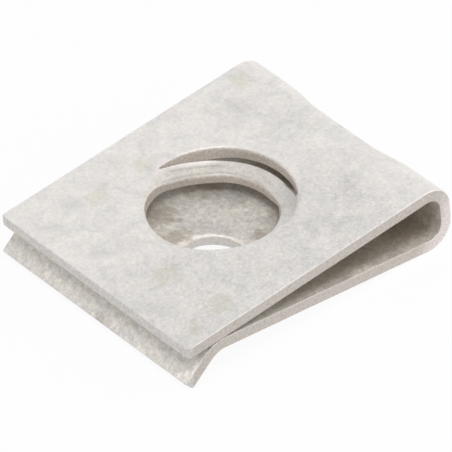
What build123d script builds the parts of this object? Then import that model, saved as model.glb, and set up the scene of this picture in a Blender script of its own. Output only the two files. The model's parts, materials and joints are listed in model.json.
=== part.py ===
from build123d import *
from math import asin, atan2, cos, degrees, pi, radians, sin, tan
import os

# U nut: one strip of spring steel, pierced, then folded back on itself.
# Sheet frame: X runs from the mouth to the fold, Y across the width, Z up.
# The upper leg's outer face lies on Z = 0 and its mouth edge on X = 0.
# At the end the nut is laid down as it rests, on its flared lip and its fold.

# Strip
WIDTH = 16.0
SHEET = 0.75
CORNER_RADIUS = 0.1
WORN_CORNER_RADIUS = 0.35   # the upper leg's mouth corner on the -Y side

# Upper leg and fold
UPPER_LENGTH = 17.65        # flat length, up to the fold
FOLD_RADIUS_TOP = 1.72      # outside radius of the fold's upper bend
FOLD_RADIUS_BOTTOM = 1.57   # outside radius of the fold's lower bend
FOLD_BACK = 1.04            # flat of the fold, between its two bends
FOLD_DISH = 0.29            # how far the middle of the fold is pressed in
FOLD_DISH_WIDTH = 10.2
FOLD_DISH_FLAT = 4.4        # this much of that width is pressed in fully
FOLD_MARGIN = 0.9           # straight sheet kept with the fold, at both its ends

# Lower leg: climbs towards the mouth, then flares down as a lead-in lip
LEG_SLOPE = 10.47           # degrees, towards the upper leg
LEG_LENGTH = 15.15
CREST_RADIUS = 1.3          # inside radius of the bend under the crest
FLARE_ANGLE = 37.6          # degrees below the upper leg
FLARE_LENGTH = 1.92

# Round hole in the lower leg, beside the centre line
LEG_HOLE_RADIUS = 1.9
LEG_HOLE_FROM_FOLD = 10.51  # along the lower leg
LEG_HOLE_Y = -1.76

# Thread impression in the upper leg, for an M8 screw; angles run about the screw axis from +X
HOLE_X = 9.1
THREAD_PITCH = 1.25
RIM_RADIUS = 4.05           # plain rim, on the mouth side
RIM_FLAT = 0.17             # the rim is this much nearer to the axis on its -Y side
RIM_FLAT_AT = -128.0        # angle of that place
RIM_FLAT_HALF = 60.0        # degrees to either side of it
LIP_RADIUS = 3.38           # edge of the helical lip, at about the thread's root
SLIT_RADIUS = 4.57
LIP_GAP = 0.05              # between the lip and the wall that it was cut from
LIP_OVERLAP = 0.15          # how far the lip's two ends reach into the leg
LIP_STEP = 0.72             # quick step down where the lip leaves the leg
LIP_DISH = 8.0              # degrees that the lip falls towards the screw axis
LIP_THICKNESS = 0.64        # the lip is drawn thinner than the sheet
LIP_SKIN = 0.02             # the lip's faces stay this far inside the leg's faces where they join
CLOSING_START = 155.0       # the edge begins to close in from the rim to the lip here
CLOSING_END = 92.0          # and has closed in here
CLOSING_LATE = 1.8          # above 1, more of the closing in comes late
OPENING_START = -25.0       # past the lip, the edge opens out to the rim again from here
OPENING_END = -85.0
OPENING_LATE = 1.5
LIP_START = 125.0           # the lip's inner edge begins to bend down here
DISH_RUN = 44.0             # degrees in which it gets its dish and its lesser thickness
SLIT_START = 96.0           # the lip is cut free from here
STEP_END = 52.0             # the step down ends here
LIP_LOWEST = -16.0          # the lip's outer edge turns back up here
SLIT_END = -36.0            # the lip joins the leg again here
LIP_LEVEL = -77.0           # the lip's inner edge is level with the leg again here
ROOT = 1.0                  # degrees by which the lip's ends run into the leg
BEND_SECTIONS = 7
LIP_SECTIONS = 24


def clamp(t):
    return min(max(t, 0.0), 1.0)


def ease(t):
    """Smooth step from 0 to 1."""
    t = clamp(t)
    return t * t * (3 - 2 * t)


def polar(radius, angle, z=0.0):
    """A point about the screw axis."""
    turn = radians(angle)
    return Vector(HOLE_X + radius * cos(turn), radius * sin(turn), z)


def upright(y=0.0):
    """The plane of the side view at one place across the width: its own X and Y are X and Z."""
    return Plane(origin=(0, y, 0), x_dir=(1, 0, 0), z_dir=(0, -1, 0))


def fold_edges(offset, dish=0.0):
    """The fold in side view on one face of the sheet, which lies this offset out of mid-sheet."""
    top_radius = FOLD_RADIUS_TOP - SHEET / 2 + offset
    bottom_radius = FOLD_RADIUS_BOTTOM - SHEET / 2 + offset
    back = FOLD_BACK - dish * tan(radians(LEG_SLOPE))
    top_bend = JernArc((UPPER_LENGTH - dish, -SHEET / 2 + offset), (1, 0), top_radius, -90)
    wall = Line(top_bend @ 1, (top_bend @ 1) - Vector(0, back))
    bottom_bend = JernArc(wall @ 1, (0, -1), bottom_radius, -(90 + LEG_SLOPE))
    return top_bend, wall, bottom_bend


def leg_start(offset):
    """Where the lower leg takes over from the fold, on one face of the sheet, and its heading."""
    bottom_bend = fold_edges(offset)[2]
    heading = bottom_bend % 1
    return (bottom_bend @ 1) + heading * FOLD_MARGIN, heading


def fold_section(y):
    """Closed side view of the fold at one place across the width."""
    dish = FOLD_DISH * ease((FOLD_DISH_WIDTH / 2 - abs(y)) / ((FOLD_DISH_WIDTH - FOLD_DISH_FLAT) / 2))
    start_x = UPPER_LENGTH - FOLD_MARGIN
    sides = []
    for offset in (SHEET / 2, -SHEET / 2):
        top_bend, wall, bottom_bend = fold_edges(offset, dish)
        lead_in = Line((start_x, -SHEET / 2 + offset), top_bend @ 0)
        lead_out = Line(bottom_bend @ 1, leg_start(offset)[0])
        sides.append([lead_in, top_bend, wall, bottom_bend, lead_out])
    outer, inner = sides
    caps = [Line(outer[0] @ 0, inner[0] @ 0), Line(outer[-1] @ 1, inner[-1] @ 1)]
    outline = Wire(outer + inner + caps)
    return upright(y).location * Face(outline)


def make_fold():
    """A straight fold at each side, and between them the stretch whose back is pressed in."""
    half = FOLD_DISH_WIDTH / 2
    steps = 20
    middle = loft([fold_section(half * (2 * i / steps - 1)) for i in range(steps + 1)])
    side = WIDTH / 2 - half
    near = extrude(fold_section(-half), amount=side, dir=(0, -1, 0))
    far = extrude(fold_section(half), amount=side, dir=(0, 1, 0))
    return near + middle + far


def mouth_corners(leg):
    """Upright edges at the mouth, from the -Y side to the +Y side."""
    return leg.edges().filter_by(Axis.Z).group_by(Axis.X)[0].sort_by(Axis.Y)


def make_upper_leg():
    length = UPPER_LENGTH - FOLD_MARGIN
    leg = Pos(length / 2, 0, -SHEET / 2) * Box(length, WIDTH, SHEET)
    leg = fillet(mouth_corners(leg)[0], WORN_CORNER_RADIUS)
    return fillet(mouth_corners(leg)[-1], CORNER_RADIUS)


def make_lower_leg():
    sides = []
    for offset in (SHEET / 2, -SHEET / 2):
        start, heading = leg_start(offset)
        run = Line(start, start + heading * (LEG_LENGTH - FOLD_MARGIN))
        crest = JernArc(run @ 1, heading, CREST_RADIUS + SHEET / 2 - offset, LEG_SLOPE + FLARE_ANGLE)
        flare = Line(crest @ 1, (crest @ 1) + (crest % 1) * FLARE_LENGTH)
        sides.append([run, crest, flare])
    under, upper = sides
    caps = [Line(under[0] @ 0, upper[0] @ 0), Line(under[-1] @ 1, upper[-1] @ 1)]
    outline = upright().location * Face(Wire(under + upper + caps))
    leg = extrude(outline, amount=WIDTH / 2, both=True)
    tip = leg.faces().sort_by(Axis.X)[0]
    corners = [e for e in tip.edges() if abs((e @ 0).Y - (e @ 1).Y) < SHEET / 10]
    return fillet(corners, CORNER_RADIUS) - leg_hole()


def leg_hole():
    """Cutter for the round hole in the lower leg, square to that leg."""
    fold_end = fold_edges(-SHEET / 2)[2]
    centre = (fold_end @ 1) + (fold_end % 1) * LEG_HOLE_FROM_FOLD
    place = Pos(centre.X, LEG_HOLE_Y, centre.Y) * Rot(0, LEG_SLOPE, 0)
    return place * Cylinder(LEG_HOLE_RADIUS, 4 * SHEET)


def edge_radius(angle):
    """The hole's edge about the screw axis: a plain rim that closes in to the lip and opens out again."""
    closed = ease(clamp((CLOSING_START - angle) / (CLOSING_START - CLOSING_END)) ** CLOSING_LATE)
    opened = ease(clamp((OPENING_START - angle) / (OPENING_START - OPENING_END)) ** OPENING_LATE)
    aside = abs((angle - RIM_FLAT_AT + 180) % 360 - 180)
    rim = RIM_RADIUS - RIM_FLAT * ease(1 - aside / RIM_FLAT_HALF)
    return rim + (LIP_RADIUS - rim) * closed * (1 - opened)


def opening():
    """Cutter for the screw hole: its plain rim, and the ring from which the lip is formed."""
    first = LIP_START
    last = 360 + OPENING_END
    steps = 30
    angles = [first + (last - first) * i / steps for i in range(steps + 1)]
    rim = Spline(*[polar(edge_radius(angle), angle) for angle in angles])
    ring = CenterArc((HOLE_X, 0), SLIT_RADIUS, first, OPENING_END - LIP_START)
    joins = [Line(rim @ 0, ring @ 0), Line(ring @ 1, rim @ 1)]
    outline = Face(Wire([rim, ring] + joins))
    return extrude(outline, amount=2 * SHEET, both=True)


def lip_section(angle, free):
    """The lip's cross-section at one angle. A free section stands clear of the slit's wall."""
    turned = max(SLIT_START - angle, 0.0)
    climbed = THREAD_PITCH * turned / 360
    outer_drop = LIP_STEP * (1 - (1 - clamp(turned / (SLIT_START - STEP_END))) ** 2) + climbed
    inner_drop = LIP_STEP * ease((LIP_START - angle) / (LIP_START - STEP_END)) + climbed
    formed = ease((LIP_START - angle) / DISH_RUN)
    fall = tan(radians(LIP_DISH)) * (SLIT_RADIUS - LIP_RADIUS) * formed
    outer_up = ease((LIP_LOWEST - angle) / (LIP_LOWEST - SLIT_END))
    inner_up = ease((LIP_LOWEST - angle) / (LIP_LOWEST - LIP_LEVEL))
    full = SHEET - 2 * LIP_SKIN
    thickness = full - (full - LIP_THICKNESS) * formed * (1 - inner_up)
    outer_radius = SLIT_RADIUS + LIP_OVERLAP
    if free:
        outer_radius -= (LIP_GAP + LIP_OVERLAP) * (1 - outer_up)
    outer_top = -LIP_SKIN - outer_drop * (1 - outer_up)
    inner_top = -LIP_SKIN - (inner_drop + fall) * (1 - inner_up)
    tilt = thickness * tan(radians(LIP_DISH)) * formed * (1 - inner_up)
    corners = [
        polar(edge_radius(angle), angle, inner_top),
        polar(outer_radius, angle, outer_top),
        polar(outer_radius, angle, outer_top - thickness),
        polar(edge_radius(angle) + tilt, angle, inner_top - thickness),
    ]
    return Face(Wire.make_polygon(corners, close=True))


def lip_stretch(first, last, count, free):
    angles = [first + (last - first) * i / (count - 1) for i in range(count)]
    return loft([lip_section(angle, free) for angle in angles])


def make_lip():
    """The bend down to the slit's start, then the lip that the slit cuts free."""
    bend = lip_stretch(LIP_START + ROOT, SLIT_START, BEND_SECTIONS, False)
    return bend + lip_stretch(SLIT_START, OPENING_END - ROOT, LIP_SECTIONS, True)


def rest_angle():
    """Tilt that brings the flare's tip and the fold's underside onto one level, and the tip itself."""
    start, heading = leg_start(SHEET / 2)
    crest_start = start + heading * (LEG_LENGTH - FOLD_MARGIN)
    crest = JernArc(crest_start, heading, CREST_RADIUS, LEG_SLOPE + FLARE_ANGLE)
    tip = (crest @ 1) + (crest % 1) * FLARE_LENGTH
    bend = fold_edges(SHEET / 2)[2]
    centre = bend.arc_center
    across = centre - tip
    return degrees(asin(FOLD_RADIUS_BOTTOM / across.length) - atan2(across.Y, across.X))


def lay_down(nut):
    """Tilt the nut onto its lip and fold, and centre it on the origin, standing on Z = 0."""
    rested = Rot(0, -rest_angle(), 0) * nut
    box = rested.bounding_box()
    return Pos(-box.center().X, -box.center().Y, -box.min.Z) * rested


def make_nut():
    upper_leg = make_upper_leg() - opening() + make_lip()
    return upper_leg + make_fold() + make_lower_leg()


nut = lay_down(make_nut())
os.makedirs("parts", exist_ok=True)
export_step(nut, "parts/clip_nut.step")
print("solids", len(nut.solids()), "volume", round(nut.volume, 2), "size", nut.bounding_box().size)
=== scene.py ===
import bpy
import bmesh
import json
from math import atan2, cos, degrees, hypot, pi, prod, radians, sin, tan
from mathutils import Matrix, Vector, noise


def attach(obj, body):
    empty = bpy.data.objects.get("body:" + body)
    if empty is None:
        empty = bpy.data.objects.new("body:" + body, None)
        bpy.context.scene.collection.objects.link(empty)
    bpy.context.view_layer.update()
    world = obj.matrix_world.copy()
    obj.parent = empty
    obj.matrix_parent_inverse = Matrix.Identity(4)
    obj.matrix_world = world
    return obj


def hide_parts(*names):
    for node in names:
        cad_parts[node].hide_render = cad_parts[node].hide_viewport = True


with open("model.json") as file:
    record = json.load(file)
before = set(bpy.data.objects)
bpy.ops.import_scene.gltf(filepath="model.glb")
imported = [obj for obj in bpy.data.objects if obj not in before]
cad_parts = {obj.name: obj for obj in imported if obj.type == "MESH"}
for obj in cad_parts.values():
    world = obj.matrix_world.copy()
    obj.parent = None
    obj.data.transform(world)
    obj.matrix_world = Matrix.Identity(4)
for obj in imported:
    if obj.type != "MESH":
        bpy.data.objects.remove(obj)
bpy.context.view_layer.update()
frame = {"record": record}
mounts = {mount["name"]: mount for mount in frame["record"]["mounts"]}
print("frame loaded")

# The nut is drawn in millimetres in its sheet frame: x from the mouth to the fold, y across the
# width, the threaded leg's outer face on z = 0. Only at the end is it laid down as the part lies.
mm = 0.001


def ease(t):
    t = min(max(t, 0.0), 1.0)
    return t * t * (3 - 2 * t)


def mix(a, b, t):
    return a + (b - a) * t


# the strip and its bends
strip = {
    "width": 16.0,
    "thickness": 0.75,
    "cornerRadius": 0.15,
    "wornCorner": 0.35,       # the upper leg's mouth corner on the -y side
    "upperLength": 17.65,
    "foldTop": 1.72,          # outside radii of the fold's two bends
    "foldBottom": 1.57,
    "foldBack": 1.04,         # flat between them
    "dish": 0.29,             # how far the fold's middle is pressed in
    "dishHalf": 5.1,
    "dishFlat": 2.2,          # pressed in fully this far to either side of the middle
    "dishLead": 0.9,          # it fades out over this length of both legs
    "legSlope": 10.47,        # degrees
    "legLength": 15.15,
    "crestRadius": 1.3,
    "flareAngle": 37.6,
    "flareLength": 1.92,
    "flareInset": 0.17,       # the flare is this much narrower on its +y side
    "insetStart": -2.0,       # measured from the crest
    "insetRun": 4.0,
}

# stretches of the outer face, from the upper mouth edge to the flare's tip: length, and turn in degrees
stretches = [
    (strip["upperLength"], 0.0),
    (strip["foldTop"] * pi / 2, -90.0),
    (strip["foldBack"], 0.0),
    (strip["foldBottom"] * radians(90 + strip["legSlope"]), -90.0 - strip["legSlope"]),
    (strip["legLength"], 0.0),
    (strip["crestRadius"] * radians(strip["legSlope"] + strip["flareAngle"]),
     strip["legSlope"] + strip["flareAngle"]),
    (strip["flareLength"], 0.0),
]
stops = [sum(length for length, turn in stretches[:i]) for i in range(len(stretches) + 1)]
foldStart, backStart, backEnd, legStart, crestStart, flareStart, tipEnd = stops[1:]


def faceAt(distance):
    # place on the outer face and heading, in side view
    x, z, heading = 0.0, 0.0, 0.0
    for length, turn in stretches:
        step = min(distance, length)
        if turn:
            radius = length / radians(turn)
            swept = radians(turn) * step / length
            x += radius * (sin(heading + swept) - sin(heading))
            z -= radius * (cos(heading + swept) - cos(heading))
            heading += swept
        else:
            x += step * cos(heading)
            z += step * sin(heading)
        distance -= step
        if distance <= 0:
            break
    return x, z, heading


def dishAt(distance, y):
    # how far the fold's back is pressed in, fading out along both legs
    deep = strip["dish"] * ease((strip["dishHalf"] - abs(y)) / (strip["dishHalf"] - strip["dishFlat"]))
    lead = strip["dishLead"]
    before = ease((distance - foldStart + lead) / lead)
    after = ease((legStart + lead - distance) / lead)
    return deep * before * after


def onSheet(distance, y, lift=0.0):
    x, z, heading = faceAt(distance)
    pressed = dishAt(distance, y)
    rise = pressed * tan(radians(strip["legSlope"])) * ease((distance - backStart) / strip["foldBack"])
    return Vector((x - lift * sin(heading) - pressed, y, z + lift * cos(heading) + rise))


# the screw hole and its helical lip; angles run about the screw axis, from +x
lip = {
    "centre": 9.1,
    "pitch": 1.25,
    "rimRadius": 4.05,
    "rimFlat": 0.17,          # the rim is nearer to the axis on the -y side
    "rimFlatAt": -128.0,
    "rimFlatHalf": 60.0,
    "radius": 3.38,
    "slitRadius": 4.57,
    "gap": 0.06,              # between the lip and the wall that it was cut from
    "gapRun": 6.0,            # it closes in these last degrees
    "step": 0.72,             # quick step down where the lip leaves the leg
    "dish": 8.0,              # degrees that the lip falls towards the axis
    "dishRun": 44.0,
    "thickness": 0.64,
    "closing": (155.0, 92.0, 1.8),     # from here to here the edge closes in from rim to lip, mostly late
    "opening": (-25.0, -85.0, 1.5),
    "start": 125.0,           # its hole edge begins to bend down
    "bendRun": 12.0,
    "bendPull": 0.35,
    "slitStart": 96.0,
    "stepEnd": 52.0,
    "lowest": -16.0,          # its hole edge climbs from here
    "edgeLowest": -6.0,       # its outer edge climbs from here, slowly at first
    "edgeLate": 1.5,
    "slitEnd": -38.0,
    "level": -77.0,
    "shoulder": 1.9,          # past the slit the lip climbs steeply beside the leg
    "shoulderRun": 32.0,
    "burr": 0.08,             # raised ridge along the start of the lip's outer edge
    "burrStart": 94.0,
    "burrFull": 76.0,
    "burrFade": 62.0,
    "burrEnd": 40.0,
    "burrShare": 0.26,
    "torn": 0.12,             # the leg's lower edge hangs down this much along the slit's first part
    "tornFrom": 90.0,
    "tornTo": 30.0,
    "tornRuns": (14.0, 25.0),
}


def clamp(t):
    return min(max(t, 0.0), 1.0)


def holeEdge(angle):
    first, last, late = lip["closing"]
    closed = ease(clamp((first - angle) / (first - last)) ** late)
    first, last, late = lip["opening"]
    opened = ease(clamp((first - angle) / (first - last)) ** late)
    aside = abs((angle - lip["rimFlatAt"] + 180) % 360 - 180)
    rim = lip["rimRadius"] - lip["rimFlat"] * ease(1 - aside / lip["rimFlatHalf"])
    return mix(rim, lip["radius"], closed * (1 - opened))


def lipRise(angle, share):
    # height of the lip's upper face, from the hole's edge (share 0) to the slit (share 1)
    turned = max(lip["slitStart"] - angle, 0.0)
    climbed = lip["pitch"] * turned / 360
    run = lip["slitStart"] - lip["stepEnd"]
    outerDrop = lip["step"] * (1 - (1 - clamp(turned / run)) ** 2) + climbed
    innerDrop = lip["step"] * ease((lip["start"] - angle) / (lip["start"] - lip["stepEnd"])) + climbed
    fall = tan(radians(lip["dish"])) * (lip["slitRadius"] - lip["radius"])
    innerDrop += fall * ease((lip["start"] - angle) / lip["dishRun"])
    outerUp = clamp((lip["edgeLowest"] - angle) / (lip["edgeLowest"] - lip["slitEnd"])) ** lip["edgeLate"]
    innerUp = ease((lip["lowest"] - angle) / (lip["lowest"] - lip["level"]))
    bent = ease((angle - lip["slitStart"]) / lip["bendRun"])
    steeper = ease((lip["lowest"] - angle) / lip["shoulderRun"])
    reach = share ** (1 - lip["bendPull"] * bent + lip["shoulder"] * steeper)
    ridge = 0.0
    if lip["burrEnd"] <= angle <= lip["burrStart"]:
        along = ease((lip["burrStart"] - angle) / (lip["burrStart"] - lip["burrFull"]))
        along *= ease((angle - lip["burrEnd"]) / (lip["burrFade"] - lip["burrEnd"]))
        ridge = lip["burr"] * along * ease((share - 1 + lip["burrShare"]) / lip["burrShare"])
    return ridge - mix(innerDrop * (1 - innerUp), outerDrop * (1 - outerUp), reach)


def tornEdge(angle):
    first, last = lip["tornRuns"]
    return lip["torn"] * ease((lip["tornFrom"] - angle) / first) * ease((angle - lip["tornTo"]) / last)


def lipThinning(angle):
    grown = ease((lip["start"] - angle) / lip["dishRun"])
    fading = 1 - ease((lip["lowest"] - angle) / (lip["lowest"] - lip["level"]))
    return (strip["thickness"] - lip["thickness"]) * grown * fading


legHole = {
    "fromFold": 10.51,
    "y": -1.76,
    "radius": 1.9,
    "taper": 0.15,            # how much narrower it is where the punch went in, on the inner face
}


# the flat blank's mesh
grid = {
    "across": 40,             # mesh steps across the width
    "upperAlong": 50,         # and along each panel
    "lowerAlong": 32,
    "upperCuts": 7,           # rings between a hole's last one and the panel's sides
    "lowerCuts": 9,
    "lipShares": (0, 0.4, 0.6, 0.74, 0.87, 1),      # rings from the hole's edge to the slit
    "slitRings": (0.26, 0.5, 0.8),                  # rings outside the slit
    "legHoleRings": (0, 0.36, 0.6, 0.95),
    "bend": 10,
    "back": 4,
    "crest": 8,
    "flare": 5,
}


def newVerts(grown):
    return [item for item in grown if isinstance(item, bmesh.types.BMVert)]


def edgesWithin(verts):
    inside = set(verts)
    return list({edge for v in verts for edge in v.link_edges if edge.other_vert(v) in inside})


def holedPanel(bm, centre, radii, span, along, cuts):
    # a flat panel round a hole: rings about the hole's axis, then straight out to its four sides
    across = grid["across"]
    total = 2 * (across + along)
    half = strip["width"] / 2

    def angleOf(v):
        return degrees(atan2(v.co.y - centre[1], v.co.x - centre[0]))

    def sidePoint(angle):
        j = (round(angle * total / 360) + across / 2) % total
        if j <= across:
            return span[1], mix(-half, half, j / across)
        if j <= across + along:
            return mix(span[1], span[0], (j - across) / along), half
        if j <= 2 * across + along:
            return span[0], mix(half, -half, (j - across - along) / across)
        return mix(span[0], span[1], (j - 2 * across - along) / along), -half

    verts = bmesh.ops.create_circle(bm, segments=total, radius=1.0)["verts"]
    bmesh.ops.rotate(bm, verts=verts, cent=(0, 0, 0), matrix=Matrix.Rotation(pi / 2, 3, "Z"))
    bmesh.ops.translate(bm, verts=verts, vec=(centre[0], centre[1], 0))
    edges = edgesWithin(verts)
    for ring, radius in enumerate(radii):
        if ring:
            verts = newVerts(bmesh.ops.extrude_edge_only(bm, edges=edges)["geom"])
            edges = edgesWithin(verts)
        for v in verts:
            angle = angleOf(v)
            reach = radius(angle)
            v.co = (centre[0] + reach * cos(radians(angle)), centre[1] + reach * sin(radians(angle)), 0)
    inside = set(verts)
    verts = newVerts(bmesh.ops.extrude_edge_only(bm, edges=edges)["geom"])
    spokes = [edge for v in verts for edge in v.link_edges if edge.other_vert(v) in inside]
    for v in verts:
        v.co = (*sidePoint(angleOf(v)), 0)
    bmesh.ops.subdivide_edges(bm, edges=spokes, cuts=cuts, use_grid_fill=True)


def runOn(bm, start, steps):
    # carries the sheet on from one row of edges through the given distances
    verts = [v for v in bm.verts if abs(v.co.x - start) < 1e-5]
    edges = edgesWithin(verts)
    for distance in steps:
        verts = newVerts(bmesh.ops.extrude_edge_only(bm, edges=edges)["geom"])
        edges = edgesWithin(verts)
        for v in verts:
            v.co.x = distance


def evenly(first, last, count):
    return [mix(first, last, (i + 1) / count) for i in range(count)]


def between(share):
    # a ring between the hole's edge and the slit's arc
    return lambda angle: mix(holeEdge(angle), lip["slitRadius"], share)


def always(radius):
    return lambda angle: radius


def makeBlank(bm):
    rings = [between(share) for share in grid["lipShares"]]
    rings += [always(lip["slitRadius"] + reach) for reach in grid["slitRings"]]
    holedPanel(bm, (lip["centre"], 0), rings, (0, foldStart), grid["upperAlong"], grid["upperCuts"])
    holeCentre = (legStart + legHole["fromFold"], legHole["y"])
    rings = [always(legHole["radius"] + reach) for reach in grid["legHoleRings"]]
    holedPanel(bm, holeCentre, rings, (legStart, crestStart), grid["lowerAlong"], grid["lowerCuts"])
    fold = evenly(foldStart, backStart, grid["bend"])
    fold += evenly(backStart, backEnd, grid["back"])
    fold += evenly(backEnd, legStart, grid["bend"])
    runOn(bm, foldStart, fold)
    end = evenly(crestStart, flareStart, grid["crest"])
    end += evenly(flareStart, tipEnd, grid["flare"])
    runOn(bm, crestStart, end)
    bmesh.ops.remove_doubles(bm, verts=bm.verts, dist=1e-4)


def cutSlit(bm):
    first, last = lip["slitEnd"] - 0.1, lip["slitStart"] + 0.1
    slit = []
    for edge in bm.edges:
        ends = [v.co - Vector((lip["centre"], 0, 0)) for v in edge.verts]
        onArc = all(abs(hypot(end.x, end.y) - lip["slitRadius"]) < 1e-3 for end in ends)
        if onArc and all(first < degrees(atan2(end.y, end.x)) < last for end in ends):
            slit.append(edge)
    bmesh.ops.split_edges(bm, edges=slit)


outerFace, innerFace, cutFace = range(3)        # material slots


def formSheet(bm):
    # bends the flat blank, pushes the lip down, and notes on each vertex where it came from
    distanceLayer = bm.verts.layers.float.new("distance")
    liftLayer = bm.verts.layers.float.new("lift")
    thinLayer = bm.verts.layers.float.new("thin")
    places = {}
    for v in bm.verts:
        distance, y = v.co.x, v.co.y
        reach = hypot(distance - lip["centre"], y)
        angle = degrees(atan2(y, distance - lip["centre"]))
        lift = 0.0
        outside = any(hypot(*(f.calc_center_median().xy - Vector((lip["centre"], 0)))) > lip["slitRadius"]
                      for f in v.link_faces)
        inside = reach < lip["slitRadius"] + 1e-3 and distance < foldStart
        if inside and not (outside and len(v.link_faces) < 4):
            edge = holeEdge(angle)
            share = clamp((reach - edge) / (lip["slitRadius"] - edge))
            lift = lipRise(angle, share)
            v[thinLayer] = lipThinning(angle)
            if share > 0.99 and not outside:
                gap = lip["gap"] * ease((angle - lip["slitEnd"]) / lip["gapRun"])
                squeeze = (lip["slitRadius"] - gap) / lip["slitRadius"]
                distance = lip["centre"] + (distance - lip["centre"]) * squeeze
                y *= squeeze
        v[distanceLayer] = distance
        v[liftLayer] = lift
        if y > 0:
            inset = ease((distance - crestStart - strip["insetStart"]) / strip["insetRun"])
            y -= strip["flareInset"] * y / strip["width"] * 2 * inset
        places[v] = onSheet(distance, y, lift)
    for v, place in places.items():
        v.co = place


def thicken(bm):
    # gives the sheet its thickness, wears the inner face's edges, and sorts faces into outer, inner and cut
    bmesh.ops.recalc_face_normals(bm, faces=bm.faces)
    if sum(f.normal.z * f.calc_area() for f in bm.faces if f.calc_center_median().z > -0.5) < 0:
        bmesh.ops.reverse_faces(bm, faces=bm.faces)
    bmesh.ops.solidify(bm, geom=bm.faces[:] + bm.edges[:] + bm.verts[:], thickness=strip["thickness"])
    distanceLayer = bm.verts.layers.float["distance"]
    liftLayer = bm.verts.layers.float["lift"]
    thinLayer = bm.verts.layers.float["thin"]
    inner = set()
    for v in bm.verts:
        outerPlace = onSheet(v[distanceLayer], v.co.y, v[liftLayer])
        if (v.co - outerPlace).length > strip["thickness"] / 3:
            inner.add(v)
    holeCentre = onSheet(legStart + legHole["fromFold"], legHole["y"], -strip["thickness"])
    for v in inner:
        v.co.z += v[thinLayer]
        fromHole = holeCentre - v.co
        if v[distanceLayer] > legStart and fromHole.length < legHole["radius"] + 0.05:
            v.co += fromHole.normalized() * legHole["taper"]
        reach = hypot(v.co.x - lip["centre"], v.co.y)
        if v[distanceLayer] < foldStart and abs(reach - lip["slitRadius"]) < 0.01 and not v[liftLayer]:
            v.co.z -= tornEdge(degrees(atan2(v.co.y, v.co.x - lip["centre"])))
    for f in bm.faces:
        count = sum(v in inner for v in f.verts)
        f.material_index = outerFace if count == 0 else innerFace if count == len(f.verts) else cutFace
        f.smooth = True


edgeWear = {
    "width": 0.35,            # widest rounding, in mm; the others are shares of it
    "outer": 0.26,
    "inner": 0.17,
    "lipEdge": 0.64,
    "rim": 0.26,
    "rimStart": lip["radius"] + 0.02,       # the hole's edge is the lip's at this radius
    "rimRun": 0.5,                          # and the rim's this much further out
    "slit": 0.52,
    "legHole": 0.73,          # this hole was pierced from the inside
    "tip": 2.0,               # degrees from the slit's tips where the rounding begins
    "tipRun": 16.0,
}


def weightEdges(bm):
    # how far each cut edge is rounded; the slit's tips stay sharp
    distanceLayer = bm.verts.layers.float["distance"]
    weightLayer = bm.edges.layers.float.new("bevel_weight_edge")
    holeCentre = legStart + legHole["fromFold"]
    nearSide = strip["width"] / 2 - 1
    for edge in bm.edges:
        kinds = {f.material_index for f in edge.link_faces}
        start = edge.verts[0]
        distance = start[distanceLayer]
        if kinds == {cutFace} and edge.calc_face_angle() > 1 and abs(start.co.y) > nearSide:
            isWorn = start.co.y < 0 and distance < 1
            radius = strip["wornCorner"] if isWorn else strip["cornerRadius"]
            edge[weightLayer] = radius / edgeWear["width"]
        if len(kinds) < 2 or cutFace not in kinds:
            continue
        weight = edgeWear["outer"] if outerFace in kinds else edgeWear["inner"]
        middle = (start.co + edge.verts[1].co) / 2
        reach = hypot(middle.x - lip["centre"], middle.y)
        angle = degrees(atan2(middle.y, middle.x - lip["centre"]))
        if distance < foldStart and reach < lip["slitRadius"] + 0.1:
            if outerFace in kinds and reach < lip["rimRadius"] + 0.15:
                outwards = clamp((reach - edgeWear["rimStart"]) / edgeWear["rimRun"])
                weight = mix(edgeWear["lipEdge"], edgeWear["rim"], outwards)
            if reach > lip["slitRadius"] - 0.27:
                if outerFace in kinds and reach > lip["slitRadius"] - 0.01:
                    weight = edgeWear["slit"]
                tip = min(lip["slitStart"] - angle, angle - lip["slitEnd"])
                weight *= ease((tip - edgeWear["tip"]) / edgeWear["tipRun"])
        fromHole = hypot(distance - holeCentre, middle.y - legHole["y"])
        if innerFace in kinds and fromHole < legHole["radius"] + 0.1:
            weight = edgeWear["legHole"]
        edge[weightLayer] = weight


# slight waviness that a pressed strip keeps: height in mm, features per mm, and where in the noise
waves = [(0.012, 0.35, (0, 0, 0)), (0.005, 1.1, (7, 3, 5))]


def unevenness(place):
    return sum(height * noise.noise(place * scale + Vector(shift)) for height, scale, shift in waves)


def layDown():
    # the sheet frame set onto the part's frame, by the screw lip's axis and place
    axis = Vector(mounts["screw_lip"]["axis"])
    place = Vector(mounts["screw_lip"]["pos_m"])
    turn = Matrix.Rotation(atan2(axis.x, axis.z), 4, "Y")
    toAxis = Matrix.Translation((-lip["centre"], 0, 0))
    return Matrix.Translation(place) @ turn @ Matrix.Scale(mm, 4) @ toAxis


def makeNut():
    bm = bmesh.new()
    makeBlank(bm)
    cutSlit(bm)
    formSheet(bm)
    thicken(bm)
    weightEdges(bm)
    bm.normal_update()
    shifts = [(v, v.normal * unevenness(v.co)) for v in bm.verts]
    for v, shift in shifts:
        v.co += shift
    bm.transform(layDown())
    mesh = bpy.data.meshes.new("formedStrip")
    bm.to_mesh(mesh)
    bm.free()
    nut = bpy.data.objects.new("formedStrip", mesh)
    bpy.context.scene.collection.objects.link(nut)
    rounding = nut.modifiers.new("worn edges", "BEVEL")
    rounding.limit_method = "WEIGHT"
    rounding.width = edgeWear["width"] * mm
    rounding.segments = 3
    rounding.profile = 0.5
    rounding.material = -1
    rounding.use_clamp_overlap = False
    rounding.harden_normals = True
    print("nut formed:", len(mesh.polygons), "faces")
    return nut


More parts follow.
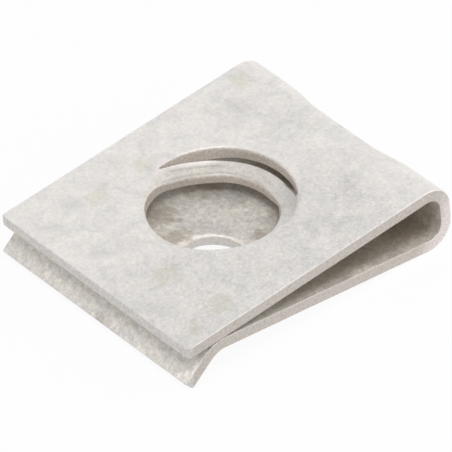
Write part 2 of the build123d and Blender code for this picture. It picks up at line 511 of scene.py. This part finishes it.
class Wire:
    # one socket of a node tree; sums on it add Math nodes, and node() adds any other kind
    def __init__(self, tree, socket=None):
        self.tree = tree
        self.socket = socket

    def node(self, kind, settings=None, sockets=None, out=0):
        made = self.tree.nodes.new(kind)
        for name, value in (settings or {}).items():
            setattr(made, name, value)
        for name, value in (sockets or {}).items():
            if isinstance(value, Wire):
                self.tree.links.new(value.socket, made.inputs[name])
            else:
                made.inputs[name].default_value = value
        return Wire(self.tree, made.outputs[out])

    def maths(self, operation, first, second):
        return self.node("ShaderNodeMath", {"operation": operation}, {0: first, 1: second})

    def __add__(self, other):
        return self.maths("ADD", self, other)

    def __radd__(self, other):
        return self.maths("ADD", other, self)

    def __sub__(self, other):
        return self.maths("SUBTRACT", self, other)

    def __rsub__(self, other):
        return self.maths("SUBTRACT", other, self)

    def __mul__(self, other):
        return self.maths("MULTIPLY", self, other)

    def __rmul__(self, other):
        return self.maths("MULTIPLY", other, self)

    def __truediv__(self, other):
        return self.maths("DIVIDE", self, other)

    def most(self, other):
        return self.maths("MAXIMUM", self, other)

    def noise(self, scale, detail, rough, shift, swirl=0.0):
        # smooth noise on this place, in features per millimetre
        moved = self.node("ShaderNodeVectorMath", {"operation": "ADD"}, {0: self, 1: (shift, shift, shift)})
        sockets = {"Vector": moved, "Scale": scale, "Detail": detail, "Roughness": rough}
        sockets["Distortion"] = swirl
        return self.node("ShaderNodeTexNoise", {}, sockets)

    def band(self, low, high):
        # 0 before low, 1 past high, which may be the lower of the two
        return self.node("ShaderNodeMapRange", {"interpolation_type": "SMOOTHSTEP"},
                         {"Value": self, "From Min": low, "From Max": high})

    def blend(self, colour, share):
        # this colour turned towards another by a share
        sockets = {0: share, 6: self, 7: (*colour, 1)}
        return self.node("ShaderNodeMix", {"data_type": "RGBA"}, sockets, out=2)

    def lit(self, shade):
        # this colour made lighter or darker
        return self.node("ShaderNodeVectorMath", {"operation": "SCALE"}, {0: self, "Scale": shade})

    def axis(self, index):
        return self.node("ShaderNodeSeparateXYZ", {}, {"Vector": self}, out=index)

    def along(self, direction):
        sockets = {0: self, 1: direction}
        return self.node("ShaderNodeVectorMath", {"operation": "DOT_PRODUCT"}, sockets, out=1)

    def fromAxis(self, centre):
        # distance from an upright axis
        level = self.node("ShaderNodeVectorMath", {"operation": "MULTIPLY"}, {0: self, 1: (1, 1, 0)})
        sockets = {0: level, 1: (centre[0], centre[1], 0)}
        return self.node("ShaderNodeVectorMath", {"operation": "DISTANCE"}, sockets, out=1)


def paint(name):
    # a fresh material: its shader node, and the place in millimetres
    material = bpy.data.materials.new(name)
    material.use_nodes = True
    tree = material.node_tree
    shader = tree.nodes["Principled BSDF"]
    start = Wire(tree)
    place = start.node("ShaderNodeTexCoord", out=3)
    place = place.node("ShaderNodeVectorMath", {"operation": "SCALE"}, {0: place, "Scale": 1 / mm})
    return material, shader, place


def flat(place, colour):
    # a plain colour as a wire
    sockets = {0: 0.0, 6: (*colour, 1), 7: (*colour, 1)}
    return place.node("ShaderNodeMix", {"data_type": "RGBA"}, sockets, out=2)


zinc = {
    "metal": 0.45,
    "relief": 0.00003,        # height of the bump, in metres, and what grain, clouds and pits add to it
    "grainRelief": 0.6,
    "cloudRelief": 0.4,
    "pitRelief": 0.3,
    "green": (0.690, 0.675, 0.590),
    "pink": (0.800, 0.745, 0.725),
    "cool": (0.703, 0.689, 0.680),
    "warm": (0.690, 0.640, 0.570),
    "brown": (0.520, 0.460, 0.385),
    # noise: features per mm, detail, roughness, shift and distortion
    "greenNoise": (0.55, 4, 0.62, 11, 0.6),
    "pinkNoise": (0.7, 4, 0.6, 37, 0.4),
    "cloudNoise": (0.8, 6, 0.66, 5, 0.8),
    "raggedNoise": (1.3, 5, 0.7, 71),
    "pitNoise": (4.2, 3, 0.65, 61),
    "speckNoise": (8.0, 2, 0.6, 29),
    # where in that noise a tint, a pit or a speck begins and is full
    "greenBand": (0.52, 0.76),
    "pinkBand": (0.50, 0.72),
    "coolBand": (0.55, 0.3),
    "pitBand": (0.60, 0.76),
    "speckBand": (0.62, 0.78),
    # shares of each at its fullest
    "greenShare": 0.45,
    "pinkShare": 0.5,
    "coolShare": 0.6,
    "pitShare": 0.16,
    "speckShare": 0.14,
    "roughShare": 0.25,
    # a patch is nothing at its radius and full at this share of it, and its edge is frayed
    "patchBand": (1.0, 0.2),
    "fray": 2.4,
}
outerLook = {
    "base": (0.800, 0.775, 0.745),
    "grain": 0.54,
    "grainNoise": (4.6, 4, 0.82, 2),
    "cloud": 0.26,
    "rough": 0.52,
    "bump": 0.5,
    # chromate stains, a pink one and dark handling marks: x, y, radius
    "stains": [(-4.8, 5.2, 1.1), (-6.5, -2.4, 1.2), (-6.1, -6.4, 1.1), (-8.2, -7.0, 0.8), (-1.4, 5.3, 0.9),
               (7.1, 6.9, 1.0)],
    "blush": [(-0.7, 4.4, 0.8)],
    "marks": [(6.6, 2.4, 1.9), (4.9, 4.8, 1.6), (5.3, -4.1, 1.3), (2.3, -5.3, 1.2), (-5.7, -1.9, 0.9),
              (-6.4, 1.5, 1.9), (-0.8, 4.0, 0.2), (-4.3, 5.7, 0.6)],
    "stained": 0.75,
    "marked": 0.055,
    "minusYDarkening": 0.09,
    "warmed": 0.6,
    "ridgePink": 0.8,
    "lipEdgePaintedShade": 0.28,
    "gapShadowDepth": 0.4,
    "creaseShadowDepth": 0.16,
    "bendPaintedLight": 0.08,
    "coarserSide": 0.5,
    "coarserLip": 0.7,
}
innerLook = {
    "base": (0.695, 0.662, 0.612),
    "grain": 1.3,
    "grainNoise": (3.0, 4, 0.82, 2),
    "cloud": 0.44,
    "rough": 0.56,
    "bump": 0.9,
    # brown painted shade and reflected light, patches of painted shade, and patches of painted light
    "brownShadeSpots": [(-2.5, 3.0, 1.7), (-3.0, 0.8, 1.3), (1.0, -1.9, 0.9), (1.8, 3.8, 1.9), (-10.1, -0.6, 0.9)],
    "shadePatches": [(-1.3, 0.5, 1.7), (-0.9, -0.5, 1.0)],
    "litPatches": [(2.6, 0.3, 1.6), (3.4, -8.0, 1.4)],
    "brownShadeShare": 0.8,
    "brownShadeDepth": 0.1,
    "shadePatchDepth": 0.14,
    "warmed": 0.4,
    "litPatchShare": 0.22,
    "flarePaintedLight": 0.09,
    "flareCornerPaintedLight": 0.12,
    "holeRimHighlight": 0.32,
    "coarserFlare": 0.05,
}
cutLook = {
    "base": (0.618, 0.568, 0.522),
    "light": (0.830, 0.765, 0.735),
    "dark": (0.440, 0.392, 0.345),
    "slit": (0.500, 0.462, 0.405),
    "grey": (0.705, 0.680, 0.655),
    "rough": 0.5,
    "bump": 0.6,
    "tears": (3.2, 3.2, 1.3),           # tear marks run through the thickness
    "tearNoise": (1.3, 4, 0.65, 19),
    "tearBand": (0.48, 0.75),
    "tearDark": 0.45,
    "tearShade": 0.2,
    "tearRough": 0.3,
    "grainNoise": (6.0, 3, 0.75, 23),
    "calmHole": 0.5,                    # the leg hole's wall has less grain, and painted light makes it lighter
    "holeWallPaintedLight": 0.18,
    "foldLean": 0.5,
    "rolledDepth": 0.35,                # the slit's wall is rolled over at its top, where a painted highlight lightens it
    "rolledTopHighlight": 0.6,
    "tipHighlight": 0.35,                    # and a painted highlight near its -y end
}

# where a look lies: soft steps that multiply, each from none to all between two values. They are measured
# in mm along the part's x, y and z, or as a distance from the axis of the screw or of the leg's hole.
zones = {
    # the outer face is darker towards -y, away from the fold
    "darkerTowardsMinusY": [("y", 3.0, -5.0), ("x", 7.6, 5.0)],
    "lip": [("screw", 4.5, 3.9), ("y", -2.5, 0.5)],
    # painted shade along the lip's rounded hole edge
    "lipEdge": [("screw", 3.82, 3.54), ("y", -1.0, 1.0)],
    "ridge": [("screw", 4.28, 4.38), ("screw", 4.57, 4.53), ("y", 2.2, 3.6)],
    # painted shade along a groove just inside the burr ridge
    "creaseShadow": [("screw", 4.02, 4.12), ("screw", 4.28, 4.18), ("y", 2.6, 3.2), ("x", -0.8, -0.3)],
    # painted shadow: a dark line along the lip's outer edge near the slit's -y tip, where the gap below it
    # lies in shade
    "gapShadow": [("screw", 4.42, 4.48), ("screw", 4.58, 4.55), ("x", 2.0, 3.0), ("y", -0.4, -1.0),
              ("y", -2.7, -2.4)],
    # painted light on the outer face over the fold's bend
    "bend": [("x", 7.6, 9.2)],
    "nearSide": [("y", -3.0, -5.0)],
    "nearMouth": [("x", -6.0, -3.0)],
    # deep between the legs, where brown painted shade is laid
    "deep": [("x", -4.0, 0.0), ("y", -7.75, -7.1)],
    "inFold": [("x", 4.5, 7.0)],
    "flare": [("x", -8.4, -9.3)],
    "flareCorner": [("y", -6.2, -7.6)],
    "flareTip": [("x", -9.2, -9.45)],
    # the leg hole's rim on the inner face, which gets a painted highlight
    "holeRim": [("hole", 2.3, 2.0)],
    "holeWall": [("hole", 3.0, 2.6)],
    "holeFoot": [("z", 2.2, 1.9)],
    # painted shade on the slit's wall
    "slitWall": [("screw", 4.1, 4.3), ("screw", 5.0, 4.8), ("x", 2.2, 3.8)],
    "slitTip": [("y", 2.4, -0.6)],
    # the cut faces grow paler towards the fold: partly a burnished shear, partly painted light
    "foldEdge": [("foldward", 6.8, 8.6)],
}
screwAxis = tuple(value / mm for value in mounts["screw_lip"]["pos_m"])
upward = tuple(mounts["screw_lip"]["axis"])
topLevel = Vector(screwAxis).dot(upward)
legHoleX = onSheet(legStart + legHole["fromFold"], legHole["y"]).x + screwAxis[0] - lip["centre"]


def zoneFinder(place):
    x = place.axis(0)
    z = place.axis(2)
    measures = {
        "x": x,
        "y": place.axis(1),
        "z": z,
        "screw": place.fromAxis(screwAxis),
        "hole": place.fromAxis((legHoleX, legHole["y"])),
        "foldward": x - z * cutLook["foldLean"],
    }

    def share(name):
        steps = [measures[measure].band(low, high) for measure, low, high in zones[name]]
        return prod(steps[1:], start=steps[0])

    return share


def spots(place, spread, rough):
    # soft ragged patches at the given places
    frayed = (rough - 0.5) * zinc["fray"]
    total = None
    for x, y, radius in spread:
        spot = (place.fromAxis((x, y)) / radius + frayed).band(*zinc["patchBand"])
        total = spot if total is None else total.most(spot)
    return total


def zincTint(place, look, cloud):
    green = place.noise(*zinc["greenNoise"]).band(*zinc["greenBand"])
    pink = place.noise(*zinc["pinkNoise"]).band(*zinc["pinkBand"])
    colour = flat(place, look["base"]).blend(zinc["green"], green * zinc["greenShare"])
    colour = colour.blend(zinc["pink"], pink * zinc["pinkShare"])
    return colour.blend(zinc["cool"], cloud.band(*zinc["coolBand"]) * zinc["coolShare"])


def outerTint(place, look, colour, ragged):
    # the outer face: its tint, and how much coarser its grain is than elsewhere
    zone = zoneFinder(place)
    darkerTowardsMinusY = zone("darkerTowardsMinusY")
    pressed = zone("lip")
    gapShadow = zone("gapShadow")
    colour = colour.blend(zinc["green"], spots(place, look["stains"], ragged) * look["stained"])
    colour = colour.blend(zinc["pink"], spots(place, look["blush"], ragged))
    colour = colour.blend(zinc["warm"], pressed * look["warmed"])
    colour = colour.blend(zinc["pink"], zone("ridge") * look["ridgePink"])
    # painted shade on the lip's hole edge, dimming its highlight
    colour = colour.lit(1 - zone("lipEdge") * look["lipEdgePaintedShade"])
    # painted shadow of the gap between the lip and the slit's wall
    colour = colour.blend(cutLook["dark"], gapShadow).lit(1 - gapShadow * look["gapShadowDepth"])
    # darker towards -y and in the dark marks
    darkening = darkerTowardsMinusY * look["minusYDarkening"] + spots(place, look["marks"], ragged) * look["marked"]
    # painted shade in the groove beside the burr
    darkening = darkening + zone("creaseShadow") * look["creaseShadowDepth"]
    # lighter over the fold's bend with painted light
    colour = colour.lit(1 - darkening + zone("bend") * look["bendPaintedLight"])
    return colour, darkerTowardsMinusY * look["coarserSide"] + pressed * look["coarserLip"]


def innerTint(place, look, colour, ragged):
    # the inner face: brown painted shade and reflected light deep between the legs and in patches, painted
    # light on the flare and in patches, and a painted highlight on the leg hole's rim
    zone = zoneFinder(place)
    nearSide = zone("nearSide")
    deep = zone("deep") * nearSide.most(zone("inFold"))
    brownShadeSpots = spots(place, look["brownShadeSpots"], ragged) * look["brownShadeShare"]
    flare = zone("flare")
    # painted light on the flare, more at its -y corner
    paintedLight = flare * (look["flarePaintedLight"] + zone("flareCorner") * look["flareCornerPaintedLight"])
    # painted light in patches on the inner face
    paintedLight = paintedLight + spots(place, look["litPatches"], ragged) * look["litPatchShare"]
    # painted highlight on the leg hole's rounded rim
    paintedLight = paintedLight + zone("holeRim") * look["holeRimHighlight"]
    # painted shade: darker in the brown spots and in two more patches
    shaded = brownShadeSpots * look["brownShadeDepth"] + spots(place, look["shadePatches"], ragged) * look["shadePatchDepth"]
    # warmer along the -y side towards the fold: painted reflected light and shade between the legs
    colour = colour.blend(zinc["warm"], nearSide * zone("nearMouth") * look["warmed"])
    # brown painted shade and reflected light, deep between the legs and in patches
    colour = colour.blend(zinc["brown"], (deep * look["brownShadeShare"]).most(brownShadeSpots))
    return colour.lit(1 + paintedLight - shaded), flare * look["coarserFlare"]


def finishUp(place, shader, colour, roughness, height, bump):
    tree = place.tree
    sockets = {"Strength": bump, "Distance": zinc["relief"], "Height": height}
    tree.links.new(colour.socket, shader.inputs["Base Color"])
    tree.links.new(roughness.socket, shader.inputs["Roughness"])
    tree.links.new(place.node("ShaderNodeBump", {}, sockets).socket, shader.inputs["Normal"])
    shader.inputs["Metallic"].default_value = zinc["metal"]


def zincFinish(name, look, tint):
    # dull zinc plating: clouds of slightly different tint, fine grain, dark pits and bright specks
    material, shader, place = paint(name)
    cloud = place.noise(*zinc["cloudNoise"])
    ragged = place.noise(*zinc["raggedNoise"])
    grain = place.noise(*look["grainNoise"])
    pits = place.noise(*zinc["pitNoise"]).band(*zinc["pitBand"])
    specks = place.noise(*zinc["speckNoise"]).band(*zinc["speckBand"])
    flecks = (grain - 0.5) - pits * zinc["pitShare"] + specks * zinc["speckShare"]
    tinted, coarser = tint(place, look, zincTint(place, look, cloud), ragged)
    shade = 1 + (cloud - 0.5) * look["cloud"] + flecks * look["grain"] * (1 + coarser)
    roughness = look["rough"] + (cloud - 0.5) * zinc["roughShare"] + (grain - 0.5) * zinc["roughShare"]
    height = grain * zinc["grainRelief"] + cloud * zinc["cloudRelief"] - pits * zinc["pitRelief"]
    finishUp(place, shader, tinted.lit(shade), roughness, height, look["bump"])
    return material


def cutFinish(name, look):
    # sheared edges: pinker and darker, with tear marks through the thickness
    material, shader, place = paint(name)
    tears = place.node("ShaderNodeVectorMath", {"operation": "MULTIPLY"}, {0: place, 1: look["tears"]})
    streak = tears.noise(*look["tearNoise"])
    grain = place.noise(*look["grainNoise"])
    zone = zoneFinder(place)
    slitWall = zone("slitWall")
    holeWall = zone("holeWall")
    # the leg hole's wall near the floor and the flare's tip are paler and greyer: partly their own colour,
    # partly painted light
    grey = (holeWall * zone("holeFoot")).most(zone("flareTip"))
    rolledTopHighlight = (topLevel - place.along(upward)).band(look["rolledDepth"], 0.0) * look["rolledTopHighlight"]
    slitHighlight = rolledTopHighlight + zone("slitTip") * look["tipHighlight"]
    # paler towards the fold: partly burnished, partly painted light
    colour = flat(place, look["base"]).blend(look["light"], zone("foldEdge"))
    colour = colour.blend(look["grey"], grey)
    colour = colour.blend(look["dark"], streak.band(*look["tearBand"]) * look["tearDark"])
    # painted shade darkens the slit's wall
    colour = colour.blend(look["slit"], slitWall)
    # painted highlight along its rolled top and near its -y tip
    colour = colour.blend(look["light"], slitWall * slitHighlight)
    # painted light on the leg hole's wall
    shade = 1 + holeWall * look["holeWallPaintedLight"] + (grain - 0.5) * (1 - holeWall * look["calmHole"])
    shade = shade + (streak - 0.5) * look["tearShade"]
    roughness = look["rough"] + (streak - 0.5) * look["tearRough"]
    finishUp(place, shader, colour.lit(shade), roughness, streak * 0.5 + grain * 0.5, look["bump"])
    return material


nut = makeNut()
nut.data.materials.append(zincFinish("zincOuter", outerLook, outerTint))
nut.data.materials.append(zincFinish("zincInner", innerLook, innerTint))
nut.data.materials.append(cutFinish("shearedEdge", cutLook))
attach(nut, "root")
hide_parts("clip_nut")
print("nut finished")


# the floor and the light
studio = {
    "floorSize": 1.2,
    "floorTone": 0.95,
    "glow": 0.93,             # share of the floor's white, where it is seen or mirrored, that has no shadow
    "world": 0.47,
    "lamps": {
        "key": {"place": (-0.12, -0.16, 0.56), "size": 0.25, "level": 0.38},
        "fill": {"place": (0.42, -0.3, 0.3), "size": 0.35, "level": 0.17},
    },
}


def seenRay(start):
    # 1 for what the camera, a mirror or clear glass shows, 0 for light on the object
    seen = start.node("ShaderNodeLightPath", out="Is Camera Ray")
    shiny = start.node("ShaderNodeLightPath", out="Is Glossy Ray")
    through = start.node("ShaderNodeLightPath", out="Is Transmission Ray")
    return seen.most(shiny).most(through)


def makeFloor():
    bm = bmesh.new()
    bmesh.ops.create_grid(bm, x_segments=1, y_segments=1, size=studio["floorSize"] / 2)
    mesh = bpy.data.meshes.new("floor")
    bm.to_mesh(mesh)
    bm.free()
    floor = bpy.data.objects.new("floor", mesh)
    bpy.context.scene.collection.objects.link(floor)
    material = bpy.data.materials.new("paleFloor")
    material.use_nodes = True
    tree = material.node_tree
    tree.nodes.remove(tree.nodes["Principled BSDF"])
    start = Wire(tree)
    tone = studio["floorTone"]
    matt = start.node("ShaderNodeBsdfDiffuse", {}, {"Color": (tone, tone, tone, 1)})
    glow = start.node("ShaderNodeEmission", {}, {"Color": (1, 1, 1, 1), "Strength": 1.0})
    surface = start.node("ShaderNodeMixShader", {}, {0: seenRay(start) * studio["glow"], 1: matt, 2: glow})
    tree.links.new(surface.socket, tree.nodes["Material Output"].inputs["Surface"])
    mesh.materials.append(material)


def makeLight():
    world = bpy.data.worlds.new("studio")
    bpy.context.scene.world = world
    world.use_nodes = True
    tree = world.node_tree
    strength = studio["world"] + seenRay(Wire(tree)) * (1 - studio["world"])
    backdrop = tree.nodes["Background"]
    backdrop.inputs["Color"].default_value = (1, 1, 1, 1)
    tree.links.new(strength.socket, backdrop.inputs["Strength"])
    for name, lamp in studio["lamps"].items():
        place = Vector(lamp["place"])
        data = bpy.data.lights.new(name, "AREA")
        data.shape = "SQUARE"
        data.size = lamp["size"]
        data.energy = lamp["level"] * pi * pi * place.length_squared      # the same level at any distance
        light = bpy.data.objects.new(name, data)
        light.location = place
        light.rotation_euler = (-place).to_track_quat("-Z", "Y").to_euler()
        bpy.context.scene.collection.objects.link(light)


camera = {
    "azimuth": -40.057,       # degrees, from -y
    "elevation": 39.337,
    "roll": -1.601,
    "distance": 0.41519,
    "aim": (-0.000661, -0.000829, 0.002469),
    "lens": 590.68,
}


def makeCamera():
    data = bpy.data.cameras.new("camera")
    data.lens = camera["lens"]
    data.sensor_width = 36
    data.clip_start = 0.01
    data.clip_end = 10
    viewer = bpy.data.objects.new("camera", data)
    a, e = radians(camera["azimuth"]), radians(camera["elevation"])
    back = Vector((sin(a) * cos(e), -cos(a) * cos(e), sin(e)))
    viewer.location = Vector(camera["aim"]) + back * camera["distance"]
    level = (-back).to_track_quat("-Z", "Y").to_matrix()
    viewer.rotation_euler = (level @ Matrix.Rotation(radians(camera["roll"]), 3, "Z")).to_euler()
    bpy.context.scene.collection.objects.link(viewer)
    bpy.context.scene.camera = viewer


makeFloor()
makeLight()
makeCamera()
bpy.context.scene.view_settings.view_transform = "Standard"
print("studio ready")
